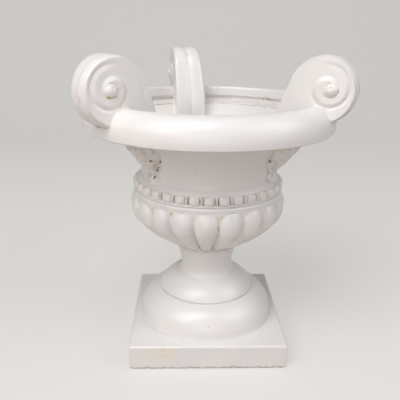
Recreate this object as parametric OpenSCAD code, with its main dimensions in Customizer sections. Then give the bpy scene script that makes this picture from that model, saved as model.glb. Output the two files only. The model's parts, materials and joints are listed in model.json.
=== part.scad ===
// White-glazed garden urn of the campana form on a square plinth.
// Every piece is moulded or thrown by itself and luted to the next with slip.
// Millimetres, +Z up, origin at the middle of the plinth's underside.
// A profile point is [radius, height], and a volute point is [distance from the axis, height].

/* [Plinth] */
// Side of the square at its top
plinth_side = 220; // [206:1:240]
// Height of the plinth
plinth_h = 37; // [30:1:60]
// How far each side draws in towards the underside
plinth_draft = 1; // [0:0.5:3]
// Rounding of the top edges
plinth_edge_r = 2.5; // [1:0.5:4]
// Rounding of the upright corners
plinth_corner_r = 3; // [1:0.5:6]
// Thickness of the side walls
plinth_wall = 14; // [10:1:18]
// Thickness of the top slab
plinth_slab = 13; // [10:1:16]

/* [Foot] */
// Radius of the foot where it meets the plinth
foot_base_r = 96.5; // [92:0.5:99]
// Widest radius of the foot's roll
roll_r = 98.5; // [94:0.5:101]
// Height of the widest place over the plinth
roll_belly_h = 8; // [5:0.5:12]
// Height of the roll over the plinth
roll_h = 42.5; // [36:0.5:50]
// How far the roll's face bulges from a straight line
roll_bulge = 6.5; // [3:0.5:8]
// Radius of the joint between the roll and the dome
joint_r = 70.5; // [66:0.5:76]
// Depth and width of the line at that joint
joint_line = 1.6; // [0.8:0.1:2.5]
// Height of the dome over the joint
dome_h = 24.5; // [18:0.5:32]
// How far the dome's face bulges from a straight line
dome_bulge = 4.5; // [2:0.5:7]
// Wall of the roll and the dome
foot_wall = 12; // [9:0.5:15]

/* [Stem] */
// Radius of the stem where it stands on the dome
stem_foot_r = 42; // [40:0.5:46]
// Narrowest radius of the stem
stem_waist_r = 37.6; // [34:0.2:39]
// Height of the narrowest place over the dome
stem_waist_h = 12.5; // [9:0.5:18]
// Height of the stem
stem_h = 45.5; // [36:0.5:60]
// Radius of the stem's flared top
stem_top_r = 47.3; // [46:0.1:52]
// Radius of the hollow up the stem
stem_bore_r = 22; // [16:0.5:24]

/* [Bowl] */
// Height of the bowl up to the bead band
bowl_h = 85.5; // [78:0.5:95]
// How far the bowl's lower face bulges from a straight line
belly_bulge = 3.2; // [1:0.2:5]
// Number of gadroons
lobes = 20; // [16:1:26]
// Bearing of one valley between gadroons
lobe_turn = 5.8; // [0:0.1:18]
// Radius of the ring of gadroon tips
tip_r = 53; // [51:0.5:58]
// Radius at the turn of the belly
knee_r = 105.4; // [100:0.2:107]
// Height of that turn over the stem
knee_h = 45; // [40:0.5:50]
// Widest radius of the belly
belly_r = 111; // [109:0.5:116]
// Height of the widest place over the stem
belly_h = 62.5; // [58:0.5:66]
// Radius of the plain strip over the gadroons
strip_r = 106.5; // [105:0.5:108]
// Height of the plain strip and the rounded edge over it
strip_h = 6.5; // [4:0.5:8]
// How far a gadroon stands out from the strip
lobe_rise = 4.4; // [3:0.2:5]
// How far the valleys between gadroons sink below the strip
valley_depth = 3; // [2:0.2:4]
// Height over which a gadroon's pointed tip widens
lobe_tip_h = 6; // [4:0.5:14]
// Height of the round end of a gadroon
lobe_end_h = 13; // [10:0.5:15]
// Wall of the bowl behind the valleys
bowl_wall = 10.5; // [9:0.5:13]
// Thickness of the bowl's floor
bowl_floor = 13; // [10:0.5:18]

/* [Bead and reel band] */
// Height of the band
band_h = 17.5; // [16:0.5:22]
// Radius of the plain ring behind the beads
band_ring_r = 101; // [99:0.5:103]
// Radius of the circle that the beads are strung on
bead_circle_r = 99.6; // [99.6:0.1:101]
// Number of beads
bead_count = 34; // [28:1:36]
// Bearing of one bead
bead_turn = 3.9; // [0:0.1:10.5]
// Radius of a bead
bead_r = 7.4; // [6:0.1:7.4]
// Radius of a reel
reel_r = 7; // [5.5:0.1:7.4]
// Thickness of a reel
reel_t = 1.5; // [1:0.1:1.8]
// Clear width between the two reels
reel_gap = 1; // [0.6:0.1:1.4]

/* [Neck] */
// Radius of the neck where it stands on the band
neck_foot_r = 96.5; // [96:0.1:99]
// Narrowest radius of the neck
neck_waist_r = 94.5; // [93:0.1:96]
// Height of the narrowest place over the band
neck_waist_h = 7; // [5:0.5:10]
// Radius of the neck's hollow curve
neck_curve_r = 62; // [50:1:70]
// Lean of the flare above the curve, from upright
neck_flare = 45; // [40:1:48]
// Height of the neck
neck_h = 81.5; // [74:0.5:90]
// Wall of the neck
neck_wall = 11; // [9:0.5:13]

/* [Rim] */
// Height of the crest over the neck
rim_h = 25.5; // [22:0.5:30]
// How far the inside of the lip lies outside the neck's top edge
lip_out = 3.2; // [2:0.1:6]
// Height of the upright band inside the lip
lip_h = 15; // [12:0.5:17]
// Depth of the undercut below the lip
lip_undercut = 4.5; // [2:0.5:6]
// Width of the rounded crest
crest_w = 5.5; // [4:0.5:8]
// Width of the rolled rim, from inside the lip to its widest
rim_w = 26; // [23:0.5:34]
// Height of the roll from its lower edge to the crest
rim_drop = 37.5; // [32:0.5:44]
// Height of the upright part of the roll
rim_skirt = 9; // [6:0.5:14]
// Thickness of the roll at its lower edge
rim_lower_t = 8; // [5:0.5:10]
// Thickness of the floor under the undercut
rim_floor_t = 4; // [3:0.5:6]

/* [Volute handles] */
// Bearing of the handle on the front left
left_bearing = 220.4; // [205:0.1:235]
// Bearing of the handle on the front right
right_bearing = 332.7; // [320:0.1:345]
// Bearing of the handle at the back
back_bearing = 103.6; // [85:0.1:120]
// How much further out the left handle stands than the others
left_shift = 2.5; // [0:0.5:4]
// Distance from inside the lip to the middle of the scroll
scroll_out = 9.8; // [6:0.2:14]
// Height of the scroll's middle over the crest
scroll_rise = 19.4; // [17:0.2:24]
// Radius of the scroll
scroll_r = 42; // [39:0.5:45]
// Thickness of the scroll at its middle
scroll_t = 35; // [30:0.5:42]
// Angle by which each side of a handle closes in, outward from its leg
scroll_wedge = 5.6; // [0:0.2:7]
// Width of the rolled strap
strap_w = 13; // [11:0.5:15]
// Depth of the groove along the middle of the strap
strap_groove = 2.4; // [1:0.2:4]
// Rounding of the strap's two edges
strap_bevel = 5; // [3:0.5:7]
// Depth of the spiral groove in each side
coil_groove = 3; // [2:0.5:4]
// Radius of the spiral groove at its start
coil_start_r = 31.4; // [30:0.1:33]
// How much nearer the eye the groove comes with each turn
coil_pitch = 12.6; // [11.5:0.1:13.5]
// How far the inner coil rises beyond the strap's side
coil_lift = 5; // [2:0.5:8]
// Where the spiral's centre lies from the scroll's middle, outward and up
coil_shift = [7.2, 2.6]; // [0:0.2:8]
// Radius of the ball at the eye
eye_r = 7.5; // [6:0.5:9]
// How far the ball lies outward of the spiral's centre
eye_out = 3; // [0:0.5:5]
// How far the inner face of the leg lies outside the neck's narrowest inside
leg_out = 13.1; // [10:0.1:18]
// Lean of the leg below the scroll, from upright
leg_lean = 21; // [18:0.5:28]
// Radius of the bend in the leg
leg_bend_r = 105; // [80:1:120]
// How far below the crest the leg ends
leg_drop = 53; // [46:1:56]

/* [Acanthus leaves] */
// Height of a leaf above its root
leaf_h = 50; // [40:1:54]
// How far the root of a leaf stands out from the neck
leaf_root_t = 4.5; // [2:0.5:6]
// How far the tip of a leaf stands out from the neck
leaf_tip_t = 9; // [6:0.5:12]
// Width of one lobe of a leaf
leaf_lobe_w = 15; // [12:0.5:18]
// Angle between two lobes
leaf_spread = 17; // [13:0.5:20]
// Width of a lobe at its root
leaf_stalk_w = 3; // [2:0.5:5]
// Radius of the swelling that the leaf grows from
leaf_boss_r = 17; // [12:0.5:19]
// Radius of the drilled eyelets
eyelet_r = 1.6; // [1:0.1:2.5]

/* [Joints] */
// Gap at a luted joint between curved faces
lute = 0.3; // [0.2:0.05:0.5]
// Height of a spigot
spigot_h = 7; // [5:0.5:9]
// Depth of the step where the neck stands in the band
step_h = 7; // [5:0.5:8]
// Thickness of the bowl's tongue inside the band
tongue_t = 8.2; // [6:0.1:9]

/* [Hidden] */
$fn = 96;

glaze = "ghostwhite";
warm_glaze = "floralwhite";
shade_glaze = "whitesmoke";

// Heights of the joints, from the table up
joint_z = plinth_h + roll_h;
dome_z = joint_z + dome_h;
stem_z = dome_z + stem_h;
band_z = stem_z + bowl_h;
neck_z = band_z + band_h;
rim_z = neck_z + neck_h;
crest_z = rim_z + rim_h;
edge_z = crest_z - rim_drop;

// Spigots and their sockets
plinth_socket_r = joint_r - foot_wall;
roll_spigot_r = plinth_socket_r - lute;
dome_socket_r = stem_waist_r - 4;
bowl_socket_r = stem_waist_r - 2;
cavity_r = neck_waist_r - neck_wall;
tongue_r = cavity_r + tongue_t;

// Curves

// An arc from p to q that stands out by s at its middle, to the right of the way it runs.
// It has n steps, and d moves it to the left, at an even distance.
function bow(p, q, s, n = 12, d = 0) =
    let (l = norm(q - p), u = (q - p) / l, w = [u.y, -u.x], side = sign(s),
         r = (l * l / 4 + s * s) / (2 * abs(s)), c = (p + q) / 2 + w * (s - side * r),
         half = asin(l / 2 / r), mid = atan2(side * w.y, side * w.x))
    [for (i = [0:n]) let (a = mid - side * half * (1 - 2 * i / n))
        c + (r - side * d) * [cos(a), sin(a)]];

// A hollow curve that is upright at the waist and ends at q, moved d towards the axis
function cove(waist, q, n = 10, d = 0) =
    let (dr = q.x - waist.x, dz = q.y - waist.y, r = (dr * dr + dz * dz) / (2 * dr),
         turn = asin(dz / r))
    [for (i = [0:n]) let (a = 180 - turn * i / n)
        [waist.x + r + (r + d) * cos(a), waist.y + (r + d) * sin(a)]];

// A quarter of an ellipse about c, from c + [a, 0] up to c + [0, b]
function quarter(c, a, b, n = 12) = [for (i = [0:n]) c + [a * cos(90 * i / n), b * sin(90 * i / n)]];

function reversed(v) = [for (i = [len(v) - 1:-1:0]) v[i]];
function head(v) = [for (i = [0:len(v) - 2]) v[i]];

module turned(outline) rotate_extrude() polygon(outline);

// A solid skin over rings of equally many points, which run anticlockwise about the way they follow
module skin(rings) {
    n = len(rings[0]);
    m = len(rings);
    points = [for (ring = rings) each ring];
    sides = [for (j = [0:m - 2], i = [0:n - 1])
        let (k = (i + 1) % n, a = j * n + i, b = j * n + k, c = a + n, d = b + n)
        each [[a, d, b], [a, c, d]]];
    start = [[for (i = [0:n - 1]) i]];
    end = [[for (i = [n - 1:-1:0]) (m - 1) * n + i]];
    polyhedron(points, concat(sides, start, end), convexity = 6);
}

// Plinth

// One bar with the plinth's side profile, which draws in to the foot and has rounded top edges
module plinth_bar(side, h, r, draft) {
    top = side / 2;
    foot = top - draft;
    half = concat([[foot, 0]], quarter([top - r, h - r], r, r, 6));
    rotate([90, 0, 0])
        linear_extrude(side + 2, center = true)
            polygon(concat(half, [for (p = reversed(half)) [-p.x, p.y]]));
}

module rounded_block(side, h, r) {
    reach = side / 2 - r;
    linear_extrude(h)
        union() {
            square([side, 2 * reach], center = true);
            square([2 * reach, side], center = true);
            for (x = [-reach, reach], y = [-reach, reach]) translate([x, y]) circle(r, $fn = 24);
        }
}

module plinth() {
    hollow = plinth_side - 2 * plinth_wall;
    color(warm_glaze)
    difference() {
        intersection() {
            plinth_bar(plinth_side, plinth_h, plinth_edge_r, plinth_draft);
            rotate(90) plinth_bar(plinth_side, plinth_h, plinth_edge_r, plinth_draft);
            rounded_block(plinth_side, plinth_h, plinth_corner_r);
        }
        translate([0, 0, -1]) rounded_block(hollow, plinth_h - plinth_slab + 1, plinth_wall);
        cylinder(h = plinth_h + 1, r = plinth_socket_r);
    }
}

// Foot

roll_face = bow([roll_r, plinth_h + roll_belly_h], [joint_r, joint_z], roll_bulge, 12);
roll_hollow = bow([roll_r, plinth_h + roll_belly_h], [joint_r, joint_z], roll_bulge, 12, foot_wall);

module foot_roll() {
    inner_top = joint_z - foot_wall * 0.6;
    hollow = [for (p = roll_hollow) if (p.y > plinth_h + foot_wall && p.y < inner_top
        && p.x > roll_spigot_r) p];
    color(glaze)
    turned(concat(
        [[roll_spigot_r - foot_wall * 0.7, plinth_h - spigot_h], [roll_spigot_r, plinth_h - spigot_h],
         [roll_spigot_r, plinth_h], [foot_base_r, plinth_h]],
        head(roll_face),
        [[joint_r + joint_line, joint_z], [joint_r, joint_z - joint_line],
         [joint_r - joint_line, joint_z - joint_line], [joint_r - joint_line, joint_z],
         [joint_r - foot_wall, joint_z], [joint_r - foot_wall, inner_top]],
        reversed(hollow),
        [[roll_spigot_r - foot_wall * 0.7, plinth_h + foot_wall]]));
}

dome_face = bow([joint_r - joint_line, joint_z + joint_line], [stem_foot_r, dome_z], dome_bulge, 10);

module foot_dome() {
    hollow = [for (p = bow([joint_r - joint_line, joint_z + joint_line], [stem_foot_r, dome_z],
        dome_bulge, 10, foot_wall)) if (p.x > dome_socket_r && p.y > joint_z) p];
    spigot_r = joint_r - foot_wall - lute;
    color(glaze)
    turned(concat(
        [[spigot_r - foot_wall / 2, joint_z - spigot_h / 2], [spigot_r, joint_z - spigot_h / 2],
         [spigot_r, joint_z], [joint_r - joint_line * 2, joint_z]],
        dome_face,
        [[dome_socket_r, dome_z], [dome_socket_r, dome_z - foot_wall]],
        reversed(hollow),
        [[spigot_r - foot_wall / 2, joint_z]]));
}

// Stem

module stem() {
    waist = [stem_waist_r, dome_z + stem_waist_h];
    lower = cove(waist, [stem_foot_r, dome_z], 6);
    upper = cove(waist, [stem_top_r, stem_z], 10);
    color(glaze)
    turned(concat(
        [[stem_bore_r, dome_z - spigot_h], [dome_socket_r - lute, dome_z - spigot_h],
         [dome_socket_r - lute, dome_z]],
        reversed(lower), [for (i = [1:len(upper) - 1]) upper[i]],
        [[bowl_socket_r - lute, stem_z], [bowl_socket_r - lute, stem_z + spigot_h],
         [stem_bore_r, stem_z + spigot_h]]));
}

// Bowl

tip_z = stem_z + 2.5;
lobe_top_z = band_z - strip_h;
belly_z = stem_z + belly_h;
lower_line = bow([tip_r, tip_z], [knee_r, stem_z + knee_h], belly_bulge, 9);
tip_steps = 3;
crest_line = concat(
    [for (i = [0:tip_steps - 1]) lower_line[0] + (lower_line[1] - lower_line[0]) * i / tip_steps],
    [for (i = [1:len(lower_line) - 2]) lower_line[i]],
    head(bow([knee_r, stem_z + knee_h], [belly_r, belly_z], belly_bulge * 0.28, 3)),
    bow([belly_r, belly_z], [strip_r + lobe_rise * 0.6, lobe_top_z], belly_bulge * 0.25, 6));
steps_per_lobe = 8;

// Half-width of a gadroon at height z, as a share of its half of the ring
function lobe_width(z) =
    z < tip_z + lobe_tip_h ? sqrt(max(0.06, 1 - pow((tip_z + lobe_tip_h - z) / lobe_tip_h, 2)))
    : z > lobe_top_z - lobe_end_h
        ? sqrt(max(0.002, 1 - pow((z - lobe_top_z + lobe_end_h) / lobe_end_h, 2)))
    : 1;

// How deep the valleys are at height z, as a share of their full depth
function valley_share(z) =
    min(1, max(0, (lobe_top_z - 3 - z) / lobe_end_h)) * min(1, max(0, (z - tip_z) / lobe_tip_h / 1.5));

// Radius of the gadrooned wall at point p of the crest line, u from -1 to 1 across a gadroon
function lobe_radius(p, u) =
    let (w = lobe_width(p.y), x = min(1, abs(u) / w))
    p.x - lobe_rise + lobe_rise * sqrt(1 - x * x) - valley_depth * pow(abs(u), 4) * valley_share(p.y);

module gadrooned_wall() {
    n = lobes * steps_per_lobe;
    function ring(p, relief) = [for (i = [0:n - 1])
        let (u = 2 * (i % steps_per_lobe) / steps_per_lobe - 1, a = 360 * i / n,
             r = relief ? lobe_radius(p, u) : p.x)
        [r * cos(a), r * sin(a), p.y]];
    rotate(lobe_turn)
        skin(concat(
            [ring([stem_top_r - 1.5, stem_z], false)],
            [for (p = crest_line) ring(p, true)],
            [ring([strip_r, lobe_top_z + 2], false), ring([strip_r - 0.6, band_z - 2], false),
             ring([strip_r - 2.6, band_z], false)]));
}

// The air inside the bowl, from the middle of its floor up to the neck
bowl_air_r = belly_r - lobe_rise - valley_depth - bowl_wall;
floor_z = stem_z + bowl_floor;
bowl_air = concat(
    [for (i = [0:16]) [bowl_air_r * sin(90 * i / 16), belly_z - (belly_z - floor_z) * cos(90 * i / 16)]],
    [for (i = [1:8]) let (t = i / 8)
        [bowl_air_r - (bowl_air_r - cavity_r) * (1 - cos(180 * t)) / 2,
         belly_z + (neck_z - step_h - belly_z) * t]]);

module bowl() {
    tongue_z = neck_z - step_h - lute;
    color(glaze)
    difference() {
        union() {
            gadrooned_wall();
            translate([0, 0, band_z - 5]) cylinder(h = tongue_z - band_z + 5, r = tongue_r);
        }
        turned(concat(bowl_air, [[cavity_r, neck_z + 1], [0, neck_z + 1]]));
        translate([0, 0, stem_z - 1]) cylinder(h = spigot_h + lute + 1, r = bowl_socket_r);
    }
}

// Bead and reel band

module reel_pair() {
    for (s = [-1, 1])
        translate([0, 0, s * (reel_gap + reel_t) / 2])
            cylinder(h = reel_t, r = reel_r, center = true, $fn = 24);
}

module bead_band() {
    mid_z = band_z + band_h / 2;
    bevel = 1.5;
    step = 360 / bead_count;
    color(shade_glaze)
    union() {
        turned([[tongue_r + lute, band_z], [band_ring_r, band_z], [band_ring_r, neck_z - bevel],
                [neck_foot_r + bevel, neck_z], [tongue_r + lute, neck_z]]);
        for (i = [0:bead_count - 1]) {
            rotate(bead_turn + i * step) translate([bead_circle_r, 0, mid_z]) sphere(bead_r);
            rotate(bead_turn + (i + 0.5) * step)
                translate([bead_circle_r, 0, mid_z]) rotate([90, 0, 0]) reel_pair();
        }
    }
}

// Neck

neck_waist = [neck_waist_r, neck_z + neck_waist_h];
neck_break = neck_waist + neck_curve_r * [1 - cos(neck_flare), sin(neck_flare)];
neck_top_r = neck_break.x + (rim_z - neck_break.y) * tan(neck_flare);
neck_top_in = neck_top_r - neck_wall / cos(neck_flare);

// The neck's outer face or, with d, a face that lies d nearer the axis
function neck_face(d) = [for (i = [0:12]) let (a = 180 - neck_flare * i / 12)
    [neck_waist.x + neck_curve_r + (neck_curve_r + d) * cos(a),
     neck_waist.y + (neck_curve_r + d) * sin(a)]];

// Radius of the neck's outer face at height z
function neck_r_at(z) = z < neck_break.y
    ? neck_waist.x + neck_curve_r - sqrt(pow(neck_curve_r, 2) - pow(z - neck_waist.y, 2))
    : neck_break.x + (z - neck_break.y) * tan(neck_flare);

module neck() {
    foot_cove = cove(neck_waist, [neck_foot_r, neck_z], 4);
    color(glaze)
    turned(concat(
        [[cavity_r, neck_z - step_h], [tongue_r - lute, neck_z - step_h], [tongue_r - lute, neck_z]],
        reversed(foot_cove), [for (i = [1:12]) neck_face(0)[i]],
        [[neck_top_r, rim_z], [neck_top_in, rim_z]],
        reversed(neck_face(neck_wall))));
}

// Rim

lip_r = neck_top_r + lip_out;
rim_r = lip_r + rim_w;
crest_in = lip_r + crest_w / 2;
crest_out = lip_r + crest_w;
roll_top = [crest_out, edge_z + rim_skirt];

// The rolled outer face from its lower edge up to the crest, grown by g
function rim_face(g) = concat(
    [[rim_r - rim_lower_t * 0.35, edge_z - g], [rim_r - 0.6 + g, edge_z + 1.8]],
    [for (i = [0:12]) roll_top + [(rim_r - crest_out + g) * cos(90 * i / 12),
        (crest_z - 0.7 - roll_top.y + g) * sin(90 * i / 12)]],
    [[crest_in, crest_z + g], [lip_r + 0.7 - g, crest_z - 0.9 + g]]);

module rim() {
    floor_top = rim_z + rim_floor_t;
    seat_out = neck_top_r + 2;
    color(glaze)
    turned(concat(
        [[rim_r - rim_lower_t, edge_z]], rim_face(0),
        [[lip_r, crest_z - 3], [lip_r, crest_z - lip_h],
         [lip_r + lip_undercut, crest_z - lip_h + 1.2], [lip_r + lip_undercut, floor_top + 1.5],
         [lip_r + lip_undercut - 2, floor_top], [neck_top_in, rim_z + 2], [neck_top_in, rim_z],
         [seat_out, rim_z], [seat_out, rim_z - 3],
         [(seat_out + rim_r - rim_lower_t) / 2, rim_z - 4]]));
}

// Volute handles

scroll_c = [lip_r + scroll_out, crest_z + scroll_rise];
leg_r = cavity_r + leg_out;
spiral_c = scroll_c + coil_shift;
leg_end_z = crest_z - leg_drop;
// Where the straight part of the leg touches the scroll's circle
leg_touch = scroll_c + scroll_r * [-cos(leg_lean), sin(leg_lean)];
leg_straight = (leg_touch.x - leg_r - leg_bend_r * (1 - cos(leg_lean))) / sin(leg_lean);
bend_end = leg_touch - leg_straight * [sin(leg_lean), cos(leg_lean)];
bend_z = bend_end.y - leg_bend_r * sin(leg_lean);

// The strap's route as [point, outward direction in degrees], from the leg's end round the scroll
strap_route = concat(
    [[[leg_r, leg_end_z], 180], [[leg_r, (leg_end_z + bend_z) / 2], 180]],
    [for (i = [0:5]) let (a = leg_lean * i / 5)
        [[leg_r + leg_bend_r * (1 - cos(a)), bend_z + leg_bend_r * sin(a)], 180 - a]],
    [for (a = [180 - leg_lean:-11.5:-100]) [scroll_c + scroll_r * [cos(a), sin(a)], a]]);

// Half the thickness of a handle at distance x from the axis
function half_at(x) = scroll_t / 2 + (scroll_c.x - x) * tan(scroll_wedge);

// A point of one side of a handle, which stands out by rise from the side's plane
function on_side(p, rise, side) = [p.x, side * (half_at(p.x) + rise), p.y];

strap_crown = 0.2;
rib_share = 0.35;

// One half of the strap's section as [depth from its face, rise from the side's plane]
function strap_edge(half) = [
    [strap_w, 0], [strap_bevel, 0], [strap_bevel * 0.3, -strap_bevel * 0.35],
    [0, -strap_bevel], [strap_crown, -half * (1 - rib_share)]];

// The strap's section at a stop of its route, with two ribs and rounded edges
function strap_ring(stop) =
    let (out = [cos(stop[1]), sin(stop[1])], edge = strap_edge(half_at(stop[0].x)),
         middle = stop[0] - strap_groove * out)
    concat([for (q = edge) on_side(stop[0] - q.x * out, q.y, 1)],
        [[middle.x, 0, middle.y]],
        [for (q = reversed(edge)) on_side(stop[0] - q.x * out, q.y, -1)]);

module strap() skin([for (stop = strap_route) strap_ring(stop)]);

// Radius of the spiral groove after a turn of t degrees from the leg's side, going inwards
function coil_r(t) = max(0.6, coil_start_r - coil_pitch * t / 360);
function coil_point(t, r) = spiral_c + r * [cos(180 - t), sin(180 - t)];

coil_from = 70;
coil_to = 590;
coil_gap = 0.6;
coil_round = 0.5;

// The inner coil's section after a turn of t degrees: a rounded ridge on both sides
function coil_ring(t) =
    let (share = (t - coil_from) / (coil_to - coil_from), out = coil_r(t) - coil_gap,
         in = coil_r(t + 360) + coil_gap, w = out - in, edge = coil_lift * share - coil_groove,
         crown = edge + coil_groove * min(1, 0.5 + share * 2), flank = (edge + crown) / 2 + coil_round,
         ridge = [[in, edge], [in + w / 4, flank], [in + w / 2, crown], [out - w / 4, flank], [out, edge]])
    concat([for (q = ridge) on_side(coil_point(t, q.x), q.y, 1)],
        [for (q = reversed(ridge)) on_side(coil_point(t, q.x), q.y, -1)]);

module coil() skin([for (t = [coil_from:13:coil_to]) coil_ring(t)]);

// The space between the two sides of a handle, each drawn in by d
module between_sides(d) {
    far = scroll_c.x + scroll_r + strap_w;
    linear_extrude(scroll_c.y + scroll_r + strap_w)
        polygon([[0, half_at(0) - d], [far, half_at(far) - d],
                 [far, d - half_at(far)], [0, d - half_at(0)]]);
}

strap_overlap = 2;

// The flat of the leg, between the strap and the spiral groove
module leg_plate() {
    outer = [for (stop = strap_route) if (stop[1] > 84)
        stop[0] - (strap_w - strap_overlap) * [cos(stop[1]), sin(stop[1])]];
    inner = [for (t = [90 + 360:-12:260]) coil_point(t, coil_r(t) + coil_gap)];
    intersection() {
        rotate([90, 0, 0])
            linear_extrude(2 * half_at(0), center = true)
                polygon(concat(outer, inner, [[scroll_c.x, crest_z - rim_drop / 2],
                    [lip_r + 2, rim_z], [neck_r_at(leg_end_z), leg_end_z]]));
        between_sides(0);
    }
}

// The body of the scroll inside the strap, as thick as the bottom of the grooves
module scroll_core() {
    outer = [for (stop = strap_route)
        stop[0] - (strap_w - strap_overlap) * [cos(stop[1]), sin(stop[1])]];
    intersection() {
        rotate([90, 0, 0])
            linear_extrude(2 * half_at(0), center = true)
                polygon(concat(outer, [[lip_r + 2, rim_z], [neck_r_at(leg_end_z), leg_end_z]]));
        between_sides(coil_groove);
    }
}

// What the rim and the neck take up, grown by the joint's gap, as a volute is fitted over them
module seat_cut() {
    below = leg_end_z - scroll_r / 2;
    wall = [for (p = neck_face(neck_wall + lute)) if (p.y > below) p];
    far = rim_r + scroll_r;
    turned(concat(
        wall, [[neck_top_in - lute, rim_z], [neck_top_in - lute, rim_z + rim_floor_t / 2 + lute],
        [lip_r - lute, rim_z + rim_floor_t * 1.5]],
        reversed(rim_face(lute)),
        [[far, edge_z - 1], [far, below]]));
}

// A handle, moved out by shift
module volute(bearing, shift = 0) {
    eye = spiral_c + [eye_out, 0];
    color(warm_glaze)
    difference() {
        rotate(bearing)
            translate([shift, 0, 0])
                union() {
                    strap();
                    scroll_core();
                    leg_plate();
                    coil();
                    for (side = [-1, 1])
                        translate(on_side(eye, coil_lift - eye_r * 0.45, side))
                            sphere(eye_r, $fn = 32);
                }
        seat_cut();
    }
}

module volute_left() volute(left_bearing, left_shift);
module volute_right() volute(right_bearing);
module volute_back() volute(back_bearing);

// Acanthus leaves

leaf_z = neck_z + 1.5;
leaf_sink = leaf_stalk_w;
// How much shorter and flatter each further pair of lobes is, as a share
pair_short = 0.07;
pair_flat = [0.1, 0.18];

// One lobe as an outline that grows up from its root, l long
module leaf_lobe(l, w) {
    stalk = leaf_stalk_w / 2;
    side = [for (i = [0:8]) let (t = i / 8) [stalk + w / 2 * pow(sin(180 * pow(t, 1.6)), 0.7), l * t]];
    polygon(concat(side, [for (p = reversed(side)) [-p.x, p.y]]));
}

// The space outside the neck, between its face and a face that stands out by low at the root and
// by high at the top
module against_neck(low, high) {
    n = 10;
    heights = [for (i = [0:n]) leaf_z + leaf_h * i / n];
    turned(concat([for (z = heights) [neck_r_at(z) + lute, z]],
        [for (z = reversed(heights)) let (t = (z - leaf_z) / leaf_h)
            [neck_r_at(z) + low + (high - low) * t * t, z]]));
}

// A pair of lobes, k steps from the middle one
module leaf_pair(k) {
    intersection() {
        against_neck(leaf_root_t * (1 - pair_flat[0] * k), leaf_tip_t * (1 - pair_flat[1] * k));
        translate([0, 0, leaf_z - leaf_sink])
            rotate([90, 0, 90])
                linear_extrude(neck_top_r)
                    for (a = k == 0 ? [0] : [-k * leaf_spread, k * leaf_spread])
                        rotate(a) leaf_lobe((leaf_h + leaf_sink) * (1 - pair_short * k), leaf_lobe_w);
    }
}

// The swelling at the root, fitted to the neck
module leaf_boss() {
    intersection() {
        against_neck(leaf_boss_r, leaf_boss_r);
        translate([neck_waist_r - leaf_boss_r * 0.25, 0, leaf_z + leaf_boss_r * 0.4])
            sphere(leaf_boss_r, $fn = 40);
    }
}

module acanthus(bearing) {
    color(shade_glaze)
    rotate(bearing)
        difference() {
            union() {
                for (k = [0:2]) leaf_pair(k);
                leaf_boss();
            }
            for (a = [-1.5, -0.5, 0.5, 1.5] * leaf_spread, reach = [0.5, 0.78] * leaf_h) {
                z = leaf_z + reach * cos(a);
                translate([neck_r_at(z) + lute + leaf_root_t / 4, -reach * sin(a), z])
                    rotate([0, 90, 0]) cylinder(h = leaf_tip_t * 3, r = eyelet_r, $fn = 16);
            }
        }
}

module acanthus_left() acanthus(left_bearing);
module acanthus_right() acanthus(right_bearing);
module acanthus_back() acanthus(back_bearing);

plinth();
foot_roll();
foot_dome();
stem();
bowl();
bead_band();
neck();
rim();
volute_left();
volute_right();
volute_back();
acanthus_left();
acanthus_right();
acanthus_back();
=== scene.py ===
import json
from math import acos, asin, atan2, cos, hypot, pi, radians, sin, tan

import bpy
import numpy as np
from mathutils import Matrix, Vector

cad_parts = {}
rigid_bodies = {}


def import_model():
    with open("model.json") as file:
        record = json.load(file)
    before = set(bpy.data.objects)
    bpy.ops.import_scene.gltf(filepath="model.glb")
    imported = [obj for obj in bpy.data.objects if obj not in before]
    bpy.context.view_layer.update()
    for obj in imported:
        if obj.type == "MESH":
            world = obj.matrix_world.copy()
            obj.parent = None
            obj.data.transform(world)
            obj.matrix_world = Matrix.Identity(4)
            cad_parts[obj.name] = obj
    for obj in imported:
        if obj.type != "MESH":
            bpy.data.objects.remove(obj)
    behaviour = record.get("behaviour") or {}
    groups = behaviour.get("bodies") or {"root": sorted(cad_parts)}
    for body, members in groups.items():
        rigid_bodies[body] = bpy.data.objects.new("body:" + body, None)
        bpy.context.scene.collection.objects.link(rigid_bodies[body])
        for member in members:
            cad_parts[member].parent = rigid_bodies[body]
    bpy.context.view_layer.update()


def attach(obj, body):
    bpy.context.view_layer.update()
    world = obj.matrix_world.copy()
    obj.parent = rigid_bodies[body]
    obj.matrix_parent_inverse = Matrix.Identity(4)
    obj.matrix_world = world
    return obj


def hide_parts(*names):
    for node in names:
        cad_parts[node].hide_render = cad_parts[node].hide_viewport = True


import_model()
mm = 0.001
scene = bpy.context.scene

# camera, set to the photograph's viewpoint
camera = {"place": (-33.18, -701.27, 448.80), "heading": 1.819, "downTilt": 18.672, "roll": 0.731,
          "lens": 45.563, "sensor": 36}

view = bpy.data.cameras.new("photoView")
view.lens = camera["lens"]
view.sensor_width = camera["sensor"]
viewObject = bpy.data.objects.new("photoView", view)
scene.collection.objects.link(viewObject)
turn = Matrix.Rotation(radians(-camera["heading"]), 4, "Z")
turn = turn @ Matrix.Rotation(radians(90 - camera["downTilt"]), 4, "X")
turn = turn @ Matrix.Rotation(radians(camera["roll"]), 4, "Z")
viewObject.matrix_world = Matrix.Translation(Vector(camera["place"]) * mm) @ turn
scene.camera = viewObject
print("camera set")


# the potter's tools: small helpers that every piece uses

def nothingSelected():
    if bpy.context.mode != "OBJECT":
        bpy.ops.object.mode_set(mode="OBJECT")
    bpy.ops.object.select_all(action="DESELECT")


def pickUp(piece):
    nothingSelected()
    piece.select_set(True)
    bpy.context.view_layer.objects.active = piece


def newPiece(name):
    piece = bpy.context.object
    piece.name = name
    piece.data.name = name
    return piece


def setDown(piece):
    # place, turn and scale go into the mesh
    pickUp(piece)
    bpy.ops.object.transform_apply(location=True, rotation=True, scale=True)


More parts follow.
